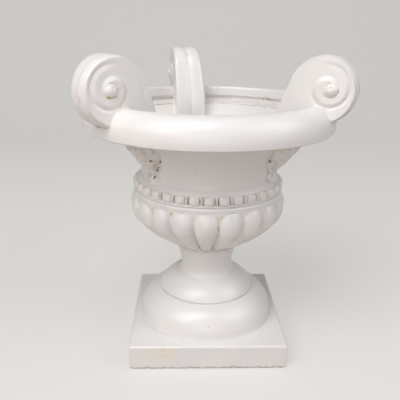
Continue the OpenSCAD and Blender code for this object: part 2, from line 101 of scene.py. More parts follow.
def openMesh(kind="VERT", action="SELECT"):
    bpy.ops.object.mode_set(mode="EDIT")
    bpy.ops.mesh.select_mode(type=kind)
    bpy.ops.mesh.select_all(action=action)


def closeMesh():
    bpy.ops.object.mode_set(mode="OBJECT")


def faceOutwards(piece):
    pickUp(piece)
    openMesh()
    bpy.ops.mesh.normals_make_consistent(inside=False)
    closeMesh()


def extrude(x, y, z):
    bpy.ops.mesh.extrude_region_move(TRANSFORM_OT_translate={"value": (x, y, z)})


def openWith(kind, elements, chosen):
    # opens the mesh with just the chosen elements selected
    openMesh(kind, "DESELECT")
    closeMesh()
    for element, wanted in zip(elements, chosen):
        element.select = bool(wanted)
    bpy.ops.object.mode_set(mode="EDIT")


def modified(piece, kind, **settings):
    m = piece.modifiers.new(kind, kind)
    for key, value in settings.items():
        setattr(m, key, value)
    pickUp(piece)
    bpy.ops.object.modifier_apply(modifier=m.name)


def points(piece):
    co = np.empty(len(piece.data.vertices) * 3)
    piece.data.vertices.foreach_get("co", co)
    return co.reshape(-1, 3) / mm


def putPoints(piece, co):
    piece.data.vertices.foreach_set("co", (np.asarray(co) * mm).ravel())
    piece.data.update()


def putValues(piece, name, values):
    layer = piece.data.attributes.get(name) or piece.data.attributes.new(name, "FLOAT", "POINT")
    layer.data.foreach_set("value", np.asarray(values, float))


def valuesOf(piece, name):
    values = np.empty(len(piece.data.vertices))
    piece.data.attributes[name].data.foreach_get("value", values)
    return values


def putStrongestLayer(piece, *layers, name="grimeAndShade"):
    # the strongest layer shows at each point
    putValues(piece, name, np.clip(np.maximum.reduce(layers), 0, 1))


def smoothStep(a, b, x):
    t = np.clip((np.asarray(x, float) - a) / (b - a), 0, 1)
    return t * t * (3 - 2 * t)


def near(distance, size):
    # 1 at the spot, fading to 0 around it
    return np.exp(-(distance / size) ** 2)


def degreesOf(x, y):
    return np.degrees(np.arctan2(y, x))


def bearingOf(co):
    return degreesOf(co[:, 0], co[:, 1]) % 360


def radiusOf(co):
    return np.hypot(co[:, 0], co[:, 1])


def onWheel(piece):
    # radius, height and bearing of every point
    co = points(piece)
    return radiusOf(co), co[:, 2], bearingOf(co)


def lengthAlong(line):
    return np.concatenate([[0], np.cumsum(np.hypot(*np.diff(line, axis=0).T))])


def leaned(x, z, atX, atZ, lean):
    # distances across and along a shape that leans over at atX, atZ
    a = radians(lean)
    return (x - atX) * cos(a) - (z - atZ) * sin(a), (x - atX) * sin(a) + (z - atZ) * cos(a)


def outsideOf(outline, s, z):
    # signed distance from points to a closed outline, negative inside it
    p = np.stack([s, z], 1)
    outline = np.array(outline, float)
    best = np.full(len(p), 1e9)
    inside = np.zeros(len(p), bool)
    for a, b in zip(outline, np.roll(outline, -1, 0)):
        ab = b - a
        t = np.clip(((p - a) @ ab) / max(ab @ ab, 1e-9), 0, 1)
        best = np.minimum(best, np.hypot(*(p - a - t[:, None] * ab).T))
        if a[1] != b[1]:
            between = (a[1] > p[:, 1]) != (b[1] > p[:, 1])
            inside ^= between & (p[:, 0] < a[0] + (p[:, 1] - a[1]) / ab[1] * ab[0])
    return np.where(inside, -best, best)


def bow(p, q, sag, n=12, inward=0):
    # an arc from p to q that stands out by sag to the right of its way
    p, q = np.array(p, float), np.array(q, float)
    length = hypot(*(q - p))
    u = (q - p) / length
    w = np.array([u[1], -u[0]])
    side = 1 if sag > 0 else -1
    r = (length * length / 4 + sag * sag) / (2 * abs(sag))
    c = (p + q) / 2 + w * (sag - side * r)
    half = asin(length / 2 / r)
    mid = atan2(side * w[1], side * w[0])
    turns = [mid - side * half * (1 - 2 * i / n) for i in range(n + 1)]
    return [(c[0] + (r - side * inward) * cos(a), c[1] + (r - side * inward) * sin(a)) for a in turns]


def cove(waist, q, n=10):
    # a hollow curve, upright at the waist
    dr, dz = q[0] - waist[0], q[1] - waist[1]
    r = (dr * dr + dz * dz) / (2 * dr)
    sweep = asin(dz / r)
    return [(waist[0] + r - r * cos(sweep * i / n), waist[1] + r * sin(sweep * i / n)) for i in range(n + 1)]


def softened(outline, radius, n=4):
    # rounds every real corner of a closed outline, as glaze does
    out = []
    count = len(outline)
    for i in range(count):
        a, b, c = (np.array(outline[j % count], float) for j in (i - 1, i, i + 1))
        la, lc = hypot(*(a - b)), hypot(*(c - b))
        if la < 1e-6 or lc < 1e-6:
            continue
        bend = acos(float(np.clip(np.dot(b - a, c - b) / la / lc, -1, 1)))
        if bend < radians(16) or min(a[0], b[0], c[0]) < 0.5:
            out.append(tuple(b))
            continue
        cut = min(radius * tan(min(bend, 2.6) / 2), la * 0.45, lc * 0.45)
        start, end = b + (a - b) / la * cut, b + (c - b) / lc * cut
        for k in range(n + 1):
            t = k / n
            out.append(tuple((1 - t) ** 2 * start + 2 * t * (1 - t) * b + t * t * end))
    return out


def drawOutline(name, outline):
    # one vertex, extruded point by point in the XZ plane
    nothingSelected()
    bpy.ops.mesh.primitive_plane_add(size=0.002)
    piece = newPiece(name)
    openMesh()
    bpy.ops.mesh.merge(type="CENTER")
    bpy.ops.transform.translate(value=(outline[0][0] * mm, 0, outline[0][1] * mm))
    for (x0, z0), (x1, z1) in zip(outline, outline[1:]):
        extrude((x1 - x0) * mm, 0, (z1 - z0) * mm)
    return piece


def throwOnWheel(name, outline, steps):
    # a closed outline spun round the urn's axis
    piece = drawOutline(name, list(outline) + [outline[0]])
    bpy.ops.mesh.select_all(action="SELECT")
    bpy.ops.mesh.remove_doubles(threshold=0.000002)
    bpy.ops.mesh.select_all(action="SELECT")
    bpy.ops.mesh.spin(steps=steps, angle=2 * pi, center=(0, 0, 0), axis=(0, 0, 1), use_auto_merge=True)
    bpy.ops.mesh.select_all(action="SELECT")
    bpy.ops.mesh.remove_doubles(threshold=0.000004)
    bpy.ops.mesh.normals_make_consistent(inside=False)
    closeMesh()
    return piece


def handWorked(piece, depth, size, inward=False):
    # the slight waviness of pressed clay
    waves = bpy.data.textures.new(piece.name + "Waves", "CLOUDS")
    waves.noise_basis = "IMPROVED_PERLIN"
    waves.noise_scale = size * mm
    waves.noise_depth = 2
    modified(piece, "DISPLACE", texture=waves, texture_coords="LOCAL", strength=depth * mm,
             mid_level=1 if inward else 0.5)


def smoothed(piece, angle):
    pickUp(piece)
    bpy.ops.object.shade_smooth_by_angle(angle=radians(angle))


def finished(piece, node, look, angle=38):
    smoothed(piece, angle)
    piece.data.materials.clear()
    piece.data.materials.append(look)
    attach(piece, "root")
    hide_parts(node)
    print(piece.name, "made")


# glazes

# each glaze's dirt colour and the shared grime edge colour paint both grime and painted shade
glazes = {
    "body": {"white": (0.835, 0.82, 0.808), "cool": (0.805, 0.797, 0.812), "warm": (0.825, 0.79, 0.75),
             "mottle": 0.26, "even": 0.25, "roughness": 0.31, "pinholes": 0.45,
             "streak": (0.70, 0.665, 0.65), "dirtAndShade": (0.30, 0.215, 0.14)},
    "handles": {"white": (0.84, 0.82, 0.805), "cool": (0.815, 0.80, 0.81), "warm": (0.825, 0.785, 0.73),
                "mottle": 0.26, "even": 0.35, "roughness": 0.31, "pinholes": 0.4,
                "streak": (0.74, 0.70, 0.68), "dirtAndShade": (0.25, 0.17, 0.105)},
    "relief": {"white": (0.84, 0.82, 0.808), "cool": (0.815, 0.803, 0.81), "warm": (0.80, 0.765, 0.715),
               "mottle": 0.3, "even": 0.5, "roughness": 0.33, "pinholes": 0.4,
               "streak": (0.70, 0.66, 0.63), "dirtAndShade": (0.17, 0.11, 0.07)},
}
# colours that all three share
shared = {"pinhole": (0.28, 0.23, 0.18), "grimeAndShadeEdge": (0.56, 0.475, 0.385),
          "stainPale": (0.86, 0.83, 0.74), "stainBrown": (0.46, 0.32, 0.18)}
# single dark pits in the glaze, by bearing, radius, height and size
specks = [(230, 97.5, 36.8, 1.3), (252.6, 90, 68.8, 1.1), (283, 41, 113.1, 1.0), (274, 88, 75.8, 0.9),
          (268.8, 108.5, 198.3, 1.3), (269.5, 104.5, 191.5, 1.0), (266, 100.5, 185.5, 0.8),
          (300, 82, 66, 0.9), (245, 152, 355, 0.9), (288, 165, 350, 0.8), (262, 52, 97, 0.8),
          (258, 98, 280, 0.9), (276, 108, 300, 0.8)]


class NodeBench:
    # adds and joins shader nodes, one line each

    def __init__(self, name):
        self.material = bpy.data.materials.new(name)
        self.material.use_nodes = True
        self.tree = self.material.node_tree
        self.tree.nodes.clear()

    def add(self, kind, inputs={}, **settings):
        node = self.tree.nodes.new(kind)
        for key, value in settings.items():
            setattr(node, key, value)
        for key, value in inputs.items():
            if isinstance(value, bpy.types.NodeSocket):
                self.tree.links.new(value, node.inputs[key])
            else:
                node.inputs[key].default_value = value
        return node

    def noise(self, where, scale, detail, roughness=0.55):
        inputs = {"Vector": where, "Scale": scale, "Detail": detail, "Roughness": roughness}
        return self.add("ShaderNodeTexNoise", inputs).outputs["Fac"]

    def ramp(self, value, low, high):
        return self.add("ShaderNodeMapRange", {"Value": value, "From Min": low, "From Max": high},
                        interpolation_type="SMOOTHSTEP").outputs["Result"]

    def math(self, operation, a, b=0.0):
        return self.add("ShaderNodeMath", {0: a, 1: b}, operation=operation).outputs[0]

    def times(self, a, b):
        return self.math("MULTIPLY", a, b)

    def attribute(self, name):
        return self.add("ShaderNodeAttribute", attribute_name=name).outputs["Fac"]

    def dots(self, where, scale, channel, rare, size):
        # round dots in a few Voronoi cells, picked by one channel of the cell's colour
        cells = self.add("ShaderNodeTexVoronoi", {"Vector": where, "Scale": scale})
        picked = self.add("ShaderNodeSeparateColor", {"Color": cells.outputs["Color"]}).outputs[channel]
        return self.times(self.ramp(cells.outputs["Distance"], *size), self.ramp(picked, *rare))

    def bump(self, strength, distance, height, below=None):
        inputs = {"Strength": strength, "Distance": distance, "Height": height}
        return self.add("ShaderNodeBump", inputs | ({"Normal": below} if below else {})).outputs[0]

    def mix(self, factor, a, b):
        a, b = (c if isinstance(c, bpy.types.NodeSocket) else (*c, 1) for c in (a, b))
        return self.add("ShaderNodeMix", {"Factor": factor, 6: a, 7: b}, data_type="RGBA").outputs[2]


def glaze(name, look):
    bench = NodeBench(name)
    where = bench.add("ShaderNodeTexCoord").outputs["Object"]
    # drifts of warmer and cooler white
    drift = bench.ramp(bench.noise(where, 16, 1), 0.3, 0.7)
    cloud = bench.ramp(bench.noise(where, 40, 2, 0.5), 0.4, 0.8)
    tint = bench.mix(drift, look["cool"], look["white"])
    tint = bench.mix(bench.times(cloud, look["mottle"]), tint, look["warm"])
    # faint level streaks from the wheel and the brush
    level = bench.add("ShaderNodeMapping", {"Vector": where, "Scale": (0.09, 0.09, 1.0)}).outputs[0]
    streak = bench.noise(level, 170, 4, 0.6)
    tint = bench.mix(bench.times(bench.ramp(streak, 0.42, 0.75), 0.12), tint, look["streak"])
    # pinholes: a few small dark dots where the glaze crawled
    coarse = bench.dots(where, 95.0, 0, (0.90, 0.92), (0.11, 0.05))
    fine = bench.dots(where, 260.0, 1, (0.93, 0.95), (0.2, 0.1))
    holes = bench.math("MAXIMUM", coarse, bench.times(fine, 0.7))
    for at, radius, high, size in specks:
        spot = (radius * cos(radians(at)) * mm, radius * sin(radians(at)) * mm, high * mm)
        away = bench.add("ShaderNodeVectorMath", {0: where, 1: spot}, operation="DISTANCE").outputs["Value"]
        holes = bench.math("MAXIMUM", holes, bench.ramp(away, size * 1.5 * mm, size * 0.6 * mm))
    tint = bench.mix(bench.times(holes, look["pinholes"]), tint, shared["pinhole"])
    # grime and painted shade held in grooves, creases and undersides, patchy, with a dark heart and a paler
    # edge
    patch = bench.ramp(bench.noise(where, 120, 5, 0.65), 0.30, 0.68)
    held = bench.times(patch, 1 - look["even"])
    held = bench.times(bench.attribute("grimeAndShade"), bench.math("ADD", held, look["even"]))
    tint = bench.mix(bench.ramp(held, 0.02, 0.75), tint, shared["grimeAndShadeEdge"])
    tint = bench.mix(bench.ramp(held, 0.35, 1.0), tint, look["dirtAndShade"])
    # stains as listed
    patchy = bench.math("ADD", bench.times(patch, 0.6), 0.4)
    stain = bench.times(bench.attribute("stain"), patchy)
    tint = bench.mix(bench.ramp(stain, 0, 0.3), tint, shared["stainPale"])
    tint = bench.mix(bench.ramp(stain, 0.14, 0.85), tint, shared["stainBrown"])
    # surface: slow waves under fine orange peel, dented at the pinholes
    slow = bench.bump(0.13, 0.0014, bench.noise(where, 38, 2, 0.5))
    wheel = bench.bump(0.12, 0.0006, streak, slow)
    peel = bench.bump(0.12, 0.0004, bench.noise(where, 420, 2, 0.6), wheel)
    dents = bench.bump(0.5, 0.0005, bench.math("SUBTRACT", 1.0, holes), peel)
    rough = bench.math("ADD", bench.times(held, 0.4), look["roughness"])
    shader = bench.add("ShaderNodeBsdfPrincipled", {
        "Base Color": tint, "Roughness": rough, "IOR": 1.5, "Normal": dents,
        "Coat Weight": 0.1, "Coat Roughness": 0.19})
    bench.add("ShaderNodeOutputMaterial", {0: shader.outputs[0]})
    return bench.material


bodyGlaze = glaze("bodyGlaze", glazes["body"])
handleGlaze = glaze("handleGlaze", glazes["handles"])
reliefGlaze = glaze("reliefGlaze", glazes["relief"])
print("glazes mixed")


# plinth: a square slab, hollow underneath

plinth = {"side": 220, "height": 37, "draft": 1.0, "edge": 2.4, "wall": 14, "slab": 13,
          "waves": 0.5, "voxel": 1.25, "footRing": 96.5}


def makePlinth():
    nothingSelected()
    half, high = plinth["side"] / 2, plinth["height"]
    size = (2 * half * mm, 2 * half * mm, high * mm)
    bpy.ops.mesh.primitive_cube_add(size=1, location=(0, 0, high / 2 * mm), scale=size)
    slab = newPiece("plinthSlab")
    setDown(slab)
    openWith("FACE", slab.data.polygons, [f.normal.z < -0.5 for f in slab.data.polygons])
    foot = (half - plinth["draft"]) / half
    bpy.ops.transform.resize(value=(foot, foot, 1), center_override=(0, 0, 0))
    bpy.ops.mesh.inset(thickness=plinth["wall"] * mm)
    extrude(0, 0, (high - plinth["slab"]) * mm)
    bpy.ops.mesh.select_all(action="SELECT")
    bpy.ops.mesh.bevel(offset=plinth["edge"] * mm, segments=5, profile=0.5, affect="EDGES")
    bpy.ops.mesh.select_all(action="SELECT")
    bpy.ops.mesh.remove_doubles(threshold=0.000004)
    closeMesh()
    modified(slab, "REMESH", mode="VOXEL", voxel_size=plinth["voxel"] * mm)
    modified(slab, "SMOOTH", factor=0.5, iterations=3)
    handWorked(slab, plinth["waves"], 45, inward=True)
    co = points(slab)
    x, y, z = co.T
    # the foot's edge is a little ragged, and the front has one worn patch
    ragged = 0.7 * (np.sin(x * 0.21 + y * 0.17) + np.sin(x * 0.53 - y * 0.31))
    z[:] = np.maximum(z + smoothStep(7, 0, z) * np.clip(ragged, 0, 2) * 0.8, 0)
    putPoints(slab, co)
    outside = (np.abs(x) > half - 4) | (np.abs(y) > half - 4)
    # painted contact shade with brown grime along the slab's ragged bottom edge
    grimeAndShade = smoothStep(5.4, 1.5, z - 0.9 * np.clip(ragged, -1, 2)) * 0.9 * outside
    # painted shade where the foot's roll sits on the slab
    footRing = smoothStep(4.5, 0, np.abs(radiusOf(co) - plinth["footRing"])) * (z > high - 2) * 0.06
    putStrongestLayer(slab, grimeAndShade, footRing)
    patch = smoothStep(25, 15, np.abs(x + 63)) * smoothStep(12, 19, z) * (y < -half + 3) * 0.3
    putStrongestLayer(slab, patch, name="stain")
    finished(slab, "plinth", bodyGlaze, 50)


makePlinth()


# foot: a roll and a dome, with a grooved joint line between them, darkened by painted shade

foot = {"base": 99.7, "seat": 37.02, "belly": (98.5, 45), "joint": (70.5, 79.5), "bulge": 6.5, "wall": 12,
        "hollow": 50, "spigot": 58.2, "spigotLow": 30, "socket": 58.6, "socketLow": 71, "hollowLow": 49,
        "domeTop": (42, 104), "domeBulge": 4.5, "domeLow": 76, "domeHollow": 52, "stemSocket": 33.6}


def makeFoot():
    belly, joint, wall = foot["belly"], foot["joint"], foot["wall"]
    face = bow(belly, joint, foot["bulge"], 30)
    hollow = bow(belly, joint, foot["bulge"], 16, wall)
    hollow = [p for p in hollow if foot["hollowLow"] < p[1] < foot["socketLow"]]
    spigot, low, seat, socket = foot["spigot"], foot["spigotLow"], foot["seat"], foot["socket"]
    outline = [(foot["hollow"], low), (spigot, low), (spigot, seat), (foot["base"], seat), (98.7, 38.6),
               (98.3, 41.4)]
    outline += face[:-1] + [joint]
    groove = [(-0.8, -0.05), (-1.5, -0.35), (-3, -0.35), (-3.6, 0)]
    outline += [(joint[0] + x, joint[1] + z) for x, z in groove]
    outline += [(socket, joint[1]), (socket, foot["socketLow"])] + hollow[::-1]
    outline += [(foot["hollow"], foot["hollowLow"])]
    roll = throwOnWheel("footRoll", softened(outline, 1.0), 320)
    r, z, _ = onWheel(roll)
    # painted shade in the joint's groove and where the roll sits on the plinth
    seam = smoothStep(2.6, 0.2, np.hypot(r - joint[0] + 1.4, (z - joint[1] + 0.9) * 0.8)) * 0.1
    putStrongestLayer(roll, seam, smoothStep(40, 37.2, z) * smoothStep(62, 66, r) * 0.08)
    handWorked(roll, 0.5, 38)
    finished(roll, "foot_roll", bodyGlaze)

    top = foot["domeTop"]
    face = bow((joint[0] - 0.7, joint[1] + 0.75), top, foot["domeBulge"], 26)
    hollow = bow(face[0], top, foot["domeBulge"], 14, wall)
    hollow = [p for p in hollow if p[0] > 34 and p[1] > joint[1] + 0.5]
    seat, socket = joint[1] + 0.02, foot["stemSocket"]
    outline = [(foot["domeHollow"], foot["domeLow"]), (spigot, foot["domeLow"]), (spigot, seat)]
    outline += [(joint[0] - 2.6, seat), (joint[0] - 1.3, joint[1] + 0.08)]
    outline += face + [(socket, top[1]), (socket, top[1] - wall)] + hollow[::-1]
    outline += [(foot["domeHollow"], seat)]
    dome = throwOnWheel("footDome", softened(outline, 0.8), 288)
    r, z, _ = onWheel(dome)
    # painted shade along the dome's foot at the joint and where the stem rises from its top
    seam = smoothStep(2.4, 0, z - joint[1]) * (r > 60) * 0.08
    putStrongestLayer(dome, seam, smoothStep(5, 0, np.hypot(r - top[0], z - top[1])) * 0.06)
    handWorked(dome, 0.5, 33)
    finished(dome, "foot_dome", bodyGlaze)


makeFoot()


# stem: waisted, with a flared collar

stem = {"foot": (42, 104), "waist": (37.6, 116.5), "top": (47.3, 149.5), "bore": 22,
        "spigot": (33.3, 97), "bowlSpigot": (35.3, 156)}


def makeStem():
    lower = cove(stem["waist"], stem["foot"], 10)[::-1]
    upper = cove(stem["waist"], stem["top"], 22)[1:]
    spigot, bowlSpigot = stem["spigot"], stem["bowlSpigot"]
    outline = [(stem["bore"], spigot[1]), spigot, (spigot[0], stem["foot"][1] + 0.02)] + lower + upper
    outline += [(bowlSpigot[0], stem["top"][1]), bowlSpigot, (stem["bore"], bowlSpigot[1])]
    piece = throwOnWheel("stemWaist", softened(outline, 0.9), 224)
    r, z, _ = onWheel(piece)
    # painted shade under the bowl's tips and where the stem meets the dome
    putStrongestLayer(piece, smoothStep(145, 149.5, z) * (r > 38) * 0.22, smoothStep(107.5, 104, z) * (r > 36) * 0.2)
    handWorked(piece, 0.45, 27)
    finished(piece, "stem", bodyGlaze)


makeStem()


# bowl: one wall with twenty gadroons pressed into it

bowl = {"lobes": 20, "turn": 5.8, "tip": (54, 155.2), "knee": (105.4, 194.5), "belly": (111, 212),
        "lobeTop": 228.3, "band": 235.0, "rise": 5.0, "valley": 3.4, "strip": 106.2, "floor": 162.6,
        "airRadius": 92.6, "airWidest": 212, "mouth": 83.5, "collar": (91.7, 245.2), "socket": (35.6, 156.8),
        "tipLong": 6, "topRound": 16, "wide": 0.96, "stepsPerLobe": 26}
# rust in the valleys and on the front lobe: bearing, height, half width, half height, strength
rust = [(224.8, 220.5, 1.5, 8, 0.9), (241.2, 224, 2.0, 4, 0.9), (258, 225, 1.8, 3, 0.6),
        (274.8, 224, 1.7, 4, 0.75), (275.8, 206, 1.3, 12, 0.8), (275.8, 189, 1.3, 12, 0.5),
        (240.6, 208, 1.2, 12, 0.45), (294, 222, 1.6, 5, 0.45), (311.8, 221, 1.8, 7, 0.45),
        (221.8, 205, 1.4, 12, 0.4)]


def makeBowl():
    tip, knee, belly = bowl["tip"], bowl["knee"], bowl["belly"]
    line = bow(tip, knee, 3.2, 56)[:-1] + bow(knee, belly, 0.9, 14)[:-1]
    line = np.array(line + bow(belly, (109.6, bowl["lobeTop"]), 0.6, 18))
    ways = np.gradient(line, axis=0)
    ways /= radiusOf(ways)[:, None]
    outward = np.stack([ways[:, 1], -ways[:, 0]], 1)
    along = lengthAlong(line)
    height = line[:, 1]
    # the bed that the lobes stand on, drawn in under their tips
    deep = bowl["rise"] + bowl["valley"] * smoothStep(228, 214, height) * smoothStep(0, 16, along)
    deep = np.maximum(deep * smoothStep(0, 5, along), 4.8 * smoothStep(9, 1, along))
    bed = line - outward * deep[:, None]
    bed[:, 0] = np.minimum(bed[:, 0], bowl["strip"] - 0.4 + 0.4 * smoothStep(218, 229, height))
    keep = bed[:, 1] > 149.9
    bed, line, along, height = bed[keep], line[keep], along[keep], height[keep]
    # the inside is a round bottom that draws in to the neck's mouth
    air, floor, widest, mouth = bowl["airRadius"], bowl["floor"], bowl["airWidest"], bowl["mouth"]
    turns = [pi / 2 * i / 24 for i in range(25)]
    inner = [(air * sin(a), widest - (widest - floor) * cos(a)) for a in turns]
    inner += [(air - (air - mouth) * (1 - cos(pi * i / 12)) / 2, widest + 34 * i / 12) for i in range(1, 12)]
    socket, strip, seat, collar = bowl["socket"], bowl["strip"], bowl["band"], bowl["collar"]
    outline = [(0, socket[1]), socket, (socket[0], 149.5), (46.5, 149.6)] + [tuple(q) for q in bed]
    outline += [(strip + 0.1, 231.0), (strip, 232.8), (105.2, 234.4), (103.6, seat), (collar[0], seat)]
    outline += [collar, (mouth, collar[1])] + inner[::-1]
    piece = throwOnWheel("gadroonedBowl", outline, bowl["lobes"] * bowl["stepsPerLobe"])
    co = points(piece)
    r, z = radiusOf(co), co[:, 2]
    turns = (degreesOf(co[:, 0], co[:, 1]) - bowl["turn"]) / (360 / bowl["lobes"])
    lobe = np.floor(turns)
    away = np.hypot(r[:, None] - bed[None, :, 0], z[:, None] - bed[None, :, 1])
    row = away.argmin(1)
    onBed = away[np.arange(len(r)), row] < 0.05
    # a lobe is pointed below and round above, and each one is a little different
    rng = np.random.default_rng(7)
    which = lobe.astype(int) % bowl["lobes"]
    uneven = rng.uniform(-1, 1, bowl["lobes"])[which]
    lean = rng.uniform(-0.05, 0.05, bowl["lobes"])[which]
    across = np.clip(2 * (turns - lobe) - 1, -1, 1)
    across = across + lean * (1 - across ** 2)
    start = along[row] / bowl["tipLong"]
    wide = np.where(start < 1, np.sqrt(np.clip(1 - (1 - start) ** 2, 0.12, 1)), 1)
    over = height[row] - (bowl["lobeTop"] + uneven * 0.8 - bowl["topRound"])
    over = np.clip(over / bowl["topRound"], 0, 1.2)
    reach = np.sqrt((across / wide / bowl["wide"]) ** 2 + over ** 2)
    shape = (1 - np.clip(reach, 0, 1) ** 2) ** (0.66 - 0.26 * smoothStep(34, 8, along[row]))
    push = shape * onBed * (1 + 0.04 * uneven)
    newR = r + (line[row, 0] - r) * push
    scale = newR / np.maximum(r, 1e-6)
    co[:, 0] *= scale
    co[:, 1] *= scale
    z += (height[row] - z) * push
    putPoints(piece, co)
    # painted shade with patchy dirt in the valleys up to the lobes' tops; painted shade in the gaps under
    # the tips, along the band's seat and over the stem's collar
    valley = smoothStep(0.84, 1.0, reach) * onBed
    patchy = 0.5 + 0.5 * np.sin(lobe * 2.4 + 1.0 + (across > 0) * 2.4)
    grimeAndShade = [valley * smoothStep(168, 195, z) * smoothStep(230, 222, z) * (0.10 + 0.26 * patchy),
             valley * smoothStep(167, 160, z) * (np.abs(across) > 0.5),
             smoothStep(1.2, 0, np.abs(z - bowl["band"])) * (newR > 98) * 0.2,
             smoothStep(152.8, 150.3, z) * (newR > 44) * 0.15]
    bearing = bearingOf(co)
    stain = np.zeros(len(co))
    for at, high, halfWide, halfTall, strength in rust:
        sideways = (bearing - at) * pi / 180 * newR
        stain = np.maximum(stain, strength * near(np.hypot(sideways / halfWide, (z - high) / halfTall), 1))
    putStrongestLayer(piece, 0.55 * stain * valley, *grimeAndShade)
    putStrongestLayer(piece, stain * (newR > 60), name="stain")
    handWorked(piece, 0.5, 22)
    finished(piece, "bowl", bodyGlaze, 60)


makeBowl()


# bead and reel band: a ring, one bead and one pair of reels copied round it

band = {"low": 235.3, "high": 253, "middle": 243.7, "ring": 101, "inner": 92, "beads": 34, "turn": 3.9,
        "circle": 99.6, "beadWide": 15.1, "beadTall": 13.2, "beadDeep": 7.5, "square": 0.74,
        "reelTall": 12.8, "reelDeep": 6.7, "reelThick": 1.2, "reelGap": 1.25}


def beadPillow(rng):
    # a worn, slightly square pillow rather than a ball
    nothingSelected()
    bpy.ops.mesh.primitive_uv_sphere_add(segments=28, ring_count=18, radius=1)
    bead = newPiece("bead")
    co = points(bead) * mm
    co = np.sign(co) * np.abs(co) ** band["square"]
    size = np.array([band["beadDeep"], band["beadWide"] / 2, band["beadTall"] / 2])
    putPoints(bead, co * (size * (1 + rng.uniform(-0.03, 0.03, 3))))
    bead.location = (band["circle"] * mm, 0, (band["middle"] + rng.uniform(-0.25, 0.25)) * mm)
    setDown(bead)
    return bead


def reelDisc(rng, side):
    nothingSelected()
    bpy.ops.mesh.primitive_cylinder_add(vertices=36, radius=band["reelTall"] / 2 * mm,
                                        depth=band["reelThick"] * mm, rotation=(pi / 2, 0, 0))
    reel = newPiece("reel")
    setDown(reel)
    openMesh()
    bpy.ops.mesh.bevel(offset=band["reelThick"] * 0.42 * mm, segments=3, profile=0.5, affect="EDGES")
    flat = 2 * band["reelDeep"] / band["reelTall"]
    bpy.ops.transform.resize(value=(flat, 1, 1 + rng.uniform(-0.03, 0.03)), center_override=(0, 0, 0))
    closeMesh()
    reel.location = (band["circle"] * mm, side * band["reelGap"] / 2 * mm, band["middle"] * mm)
    setDown(reel)
    return reel


def turnedCopy(piece, angle):
    copy = piece.copy()
    copy.data = piece.data.copy()
    scene.collection.objects.link(copy)
    copy.rotation_euler = (0, 0, radians(angle))
    return copy


def makeBand():
    rng = np.random.default_rng(3)
    low, high, middle = band["low"], band["high"], band["middle"]
    inner, middleRadius = band["inner"], band["ring"]
    outline = [(inner, low), (103.2, low), (104.4, low + 1.1), (103.2, low + 2.6), (middleRadius, low + 4.5),
               (middleRadius, middle), (middleRadius, high - 3.6), (99.6, high - 1.2), (97.3, high + 1.2),
               (95.2, high + 3.4), (94, high + 2), (inner, high - 0.05)]
    ring = throwOnWheel("beadBand", softened(outline, 0.9), 612)
    step = 360 / band["beads"]
    co = points(ring)
    between = np.abs((bearingOf(co) - band["turn"]) % step - step / 2) * pi / 180 * middleRadius
    z = co[:, 2]
    upright = smoothStep(high - 3.5, high - 6, z) * smoothStep(low + 2.2, low + 4.2, z)
    # painted shade, patchy, on the ring in the deep grooves beside the reels
    putStrongestLayer(ring, 0.8 * smoothStep(3.4, 2.4, between) * upright)
    parts = [ring]
    beadKinds = [beadPillow(rng) for _ in range(5)]
    reelKinds = [(reelDisc(rng, -1), reelDisc(rng, 1)) for _ in range(3)]
    for bead in beadKinds:
        co = points(bead)
        # painted shade on the beads' flanks deep in the grooves
        deep = smoothStep(6.4, 3.0, co[:, 0] - band["circle"])
        putStrongestLayer(bead, smoothStep(0.86, 0.98, np.abs(co[:, 1]) / (band["beadWide"] / 2)) * deep)
    reels = [reel for pair in reelKinds for reel in pair]
    for reel in reels:
        co = points(reel)
        # painted shade on the reels' inner parts, deep between the beads
        out = np.hypot(co[:, 0] - band["circle"], co[:, 2] - middle)
        putStrongestLayer(reel, smoothStep(5.6, 4.2, out) * 0.9)
    for i in range(band["beads"]):
        at = band["turn"] + i * step
        parts.append(turnedCopy(beadKinds[rng.integers(5)], at + rng.uniform(-0.25, 0.25)))
        for reel in reelKinds[rng.integers(3)]:
            parts.append(turnedCopy(reel, band["turn"] + (i + 0.5) * step))
    nothingSelected()
    for kind in beadKinds + reels:
        bpy.data.objects.remove(kind)
    for part in parts:
        part.select_set(True)
    bpy.context.view_layer.objects.active = ring
    bpy.ops.object.transform_apply(location=True, rotation=True, scale=True)
    bpy.ops.object.join()
    handWorked(ring, 0.45, 9)
    finished(ring, "bead_band", reliefGlaze, 50)


makeBand()


# neck: a flared bell

neck = {"foot": (96.8, 253), "waist": (94.5, 260.0), "curve": 62, "flare": 45, "top": 334.5, "wall": 11,
        "cavity": 83.5, "socket": (91.4, 246)}


def neckRadius(z):
    (waistR, waistZ), curve, flare = neck["waist"], neck["curve"], radians(neck["flare"])
    z = np.asarray(z, float)
    bendTop = waistZ + curve * sin(flare)
    bendRadius = waistR + curve * (1 - cos(flare))
    rise = np.clip(z - waistZ, -curve, bendTop - waistZ)
    curved = waistR + curve - np.sqrt(curve ** 2 - rise ** 2)
    return np.where(z < bendTop, curved, bendRadius + (z - bendTop) * tan(flare))


